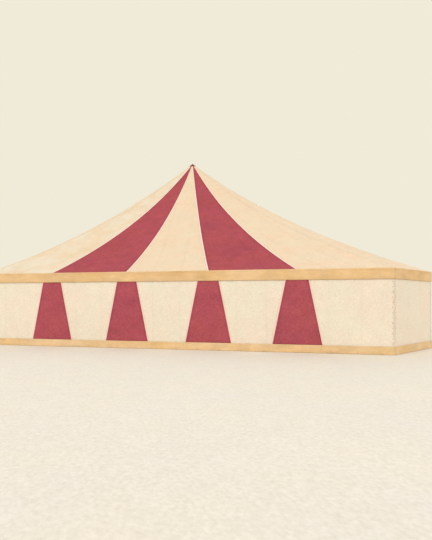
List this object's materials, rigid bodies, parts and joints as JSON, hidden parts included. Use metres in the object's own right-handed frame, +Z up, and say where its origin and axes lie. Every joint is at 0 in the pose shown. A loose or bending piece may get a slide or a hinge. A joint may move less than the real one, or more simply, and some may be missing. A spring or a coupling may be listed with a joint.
{
  "type": "circus big top tent",
  "caption": "Circus big top with a steep sagging canvas roof of red and cream gores on one king pole, straight canvas walls with flared red panels, and gold bands at the eaves and foot.",
  "frame": {"origin": "on the ground at the centre of the plan, under the king pole", "axes": "+Z up along the king pole, -Y out of the front, +X to the right seen from the front"},
  "size_m": [24.4212, 24.4212, 13.25],
  "materials": {
    "roof_red": "matt dyed canvas with a soft mottle",
    "roof_cream": "matt cream canvas with a soft mottle",
    "wall_cream": "matt pale cream canvas",
    "wall_red": "matt dyed canvas, sewn on the wall",
    "band_gold": "matt gold canvas trim",
    "pole_steel": "dull grey paint on steel tube"
  },
  "bodies": {
    "root": {"roof_gore_front_1": "roof_cream", "roof_gore_front_2": "roof_red", "roof_gore_front_3": "roof_cream", "roof_gore_front_4": "roof_red", "roof_gore_front_5": "roof_cream", "roof_gore_front_right_corner": "roof_cream", "roof_gore_right_1": "roof_cream", "roof_gore_right_2": "roof_red", "roof_gore_right_3": "roof_cream", "roof_gore_right_4": "roof_red", "roof_gore_right_5": "roof_cream", "roof_gore_back_right_corner": "roof_cream", "roof_gore_back_1": "roof_cream", "roof_gore_back_2": "roof_red", "roof_gore_back_3": "roof_cream", "roof_gore_back_4": "roof_red", "roof_gore_back_5": "roof_cream", "roof_gore_back_left_corner": "roof_cream", "roof_gore_left_1": "roof_cream", "roof_gore_left_2": "roof_red", "roof_gore_left_3": "roof_cream", "roof_gore_left_4": "roof_red", "roof_gore_left_5": "roof_cream", "roof_gore_front_left_corner": "roof_cream", "wall_front": "wall_cream", "wall_front_right_corner": "wall_cream", "wall_right": "wall_cream", "wall_back_right_corner": "wall_cream", "wall_back": "wall_cream", "wall_back_left_corner": "wall_cream", "wall_left": "wall_cream", "wall_front_left_corner": "wall_cream", "wall_flares_front": "wall_red", "wall_flares_right": "wall_red", "wall_flares_back": "wall_red", "wall_flares_left": "wall_red", "side_poles_front": "pole_steel", "side_poles_right": "pole_steel", "side_poles_back": "pole_steel", "side_poles_left": "pole_steel", "valance": "band_gold", "skirt": "band_gold", "king_pole": "pole_steel", "crown_ring": "pole_steel", "peak_cap": "roof_red"}
  },
  "joints": []
}
